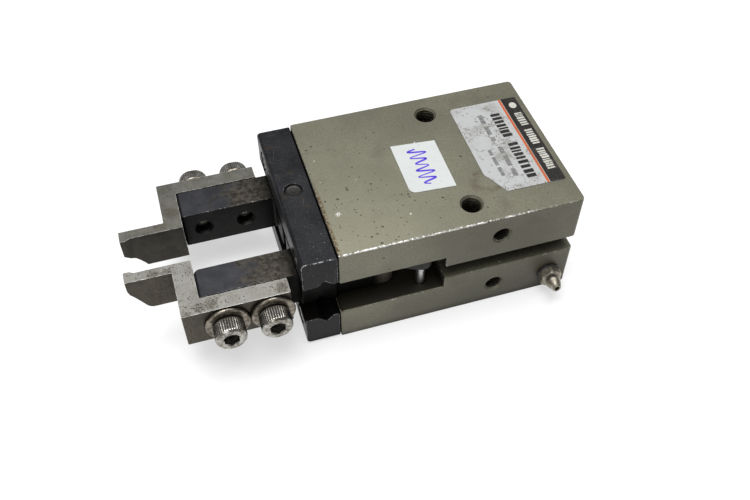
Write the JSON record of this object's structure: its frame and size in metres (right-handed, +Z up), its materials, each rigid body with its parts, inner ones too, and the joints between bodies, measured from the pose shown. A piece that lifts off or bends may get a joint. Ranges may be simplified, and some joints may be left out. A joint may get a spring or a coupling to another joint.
{
  "type": "pneumatic gripper",
  "caption": "Parallel pneumatic gripper with a fork-shaped aluminium body, crossed-roller guided steel fingers and offset clamping jaws.",
  "frame": {"origin": "centre of the flat bottom face of the body block", "axes": "+X from the cylinder to the jaw tips, +Y the way the near finger opens, +Z up from the bottom face to the top face"},
  "size_m": [0.1231, 0.0633, 0.0351],
  "materials": {
    "anodised_aluminium": "worn olive-grey anodised, satin",
    "black_steel": "blackened steel, worn bright on the edges",
    "ground_steel": "ground steel with light rust spots",
    "nickel_screw": "dull nickel plating, knurled",
    "spring_steel": "dark hardened steel",
    "bearing_steel": "polished bearing steel",
    "bronze": "sintered bronze",
    "nickel_brass": "nickel plated brass, tarnished",
    "nitrile": "nitrile rubber",
    "magnet": "bonded ferrite",
    "paper": "matt paper label",
    "foil": "worn printed foil"
  },
  "bodies": {
    "body": {"body": "anodised_aluminium", "head_cover": "anodised_aluminium", "cover_seal": "nitrile", "retaining_ring": "spring_steel", "rod_seal": "nitrile", "rod_bush": "bronze", "guide_rail_upper": "black_steel", "guide_rail_lower": "black_steel", "rail_plug_upper": "spring_steel", "rail_plug_lower": "spring_steel", "rail_screw_upper_near": "nickel_screw", "rail_screw_upper_far": "nickel_screw", "rail_screw_lower_near": "nickel_screw", "rail_screw_lower_far": "nickel_screw", "hose_fitting": "nickel_brass", "fitting_gasket": "nitrile", "name_plate": "foil", "paper_label": "paper", "pivot_pin_near": "bearing_steel", "pivot_pin_far": "bearing_steel"},
    "piston": {"piston": "anodised_aluminium", "piston_seal": "nitrile", "piston_magnet": "magnet", "piston_nut": "spring_steel", "piston_rod": "bearing_steel", "cross_pin": "spring_steel"},
    "lever_near": {"lever_near": "spring_steel"},
    "finger_near": {"finger_near": "black_steel", "drive_pin_near": "bearing_steel", "jaw_near": "ground_steel", "washer_near_front": "nickel_screw", "washer_near_rear": "nickel_screw", "jaw_screw_near_front": "nickel_screw", "jaw_screw_near_rear": "nickel_screw"},
    "rollers_near": {"roller_cage_near_upper": "bronze", "roller_cage_near_lower": "bronze", "roller_near_upper_1": "bearing_steel", "roller_near_upper_2": "bearing_steel", "roller_near_upper_3": "bearing_steel", "roller_near_lower_1": "bearing_steel", "roller_near_lower_2": "bearing_steel", "roller_near_lower_3": "bearing_steel"},
    "lever_far": {"lever_far": "spring_steel"},
    "finger_far": {"finger_far": "black_steel", "drive_pin_far": "bearing_steel", "jaw_far": "ground_steel", "washer_far_front": "nickel_screw", "washer_far_rear": "nickel_screw", "jaw_screw_far_front": "nickel_screw", "jaw_screw_far_rear": "nickel_screw"},
    "rollers_far": {"roller_cage_far_upper": "bronze", "roller_cage_far_lower": "bronze", "roller_far_upper_1": "bearing_steel", "roller_far_upper_2": "bearing_steel", "roller_far_upper_3": "bearing_steel", "roller_far_lower_1": "bearing_steel", "roller_far_lower_2": "bearing_steel", "roller_far_lower_3": "bearing_steel"}
  },
  "joints": [
    {"name": "finger_near_slide", "type": "slide", "parent": "body", "child": "finger_near", "axis": [0, 1, 0], "range_m": [-0.0018, 0.0052]},
    {"name": "finger_far_slide", "type": "slide", "parent": "body", "child": "finger_far", "axis": [0, -1, 0], "range_m": [-0.0018, 0.0052]},
    {"name": "piston_slide", "type": "slide", "parent": "body", "child": "piston", "axis": [1, 0, 0], "range_m": [-0.0036, 0.0104]},
    {"name": "lever_near_swing", "type": "hinge", "parent": "body", "child": "lever_near", "pos_m": [0.0102, 0.0218, 0.0175], "axis": [0, 0, 1], "range_deg": [-9.2, 26.4]},
    {"name": "lever_far_swing", "type": "hinge", "parent": "body", "child": "lever_far", "pos_m": [0.0102, -0.0218, 0.0175], "axis": [0, 0, -1], "range_deg": [-9.2, 26.4]},
    {"name": "rollers_near_slide", "type": "slide", "parent": "body", "child": "rollers_near", "axis": [0, 1, 0], "range_m": [-0.0009, 0.0026]},
    {"name": "rollers_far_slide", "type": "slide", "parent": "body", "child": "rollers_far", "axis": [0, -1, 0], "range_m": [-0.0009, 0.0026]}
  ],
  "couplings": [
    {"joint": "finger_far_slide", "follows": "finger_near_slide", "ratio": 1},
    {"joint": "piston_slide", "follows": "finger_near_slide", "ratio": 2},
    {"joint": "lever_near_swing", "follows": "finger_near_slide", "rad_per_m": 88},
    {"joint": "lever_far_swing", "follows": "finger_near_slide", "rad_per_m": 88},
    {"joint": "rollers_near_slide", "follows": "finger_near_slide", "ratio": 0.5},
    {"joint": "rollers_far_slide", "follows": "finger_near_slide", "ratio": 0.5}
  ]
}
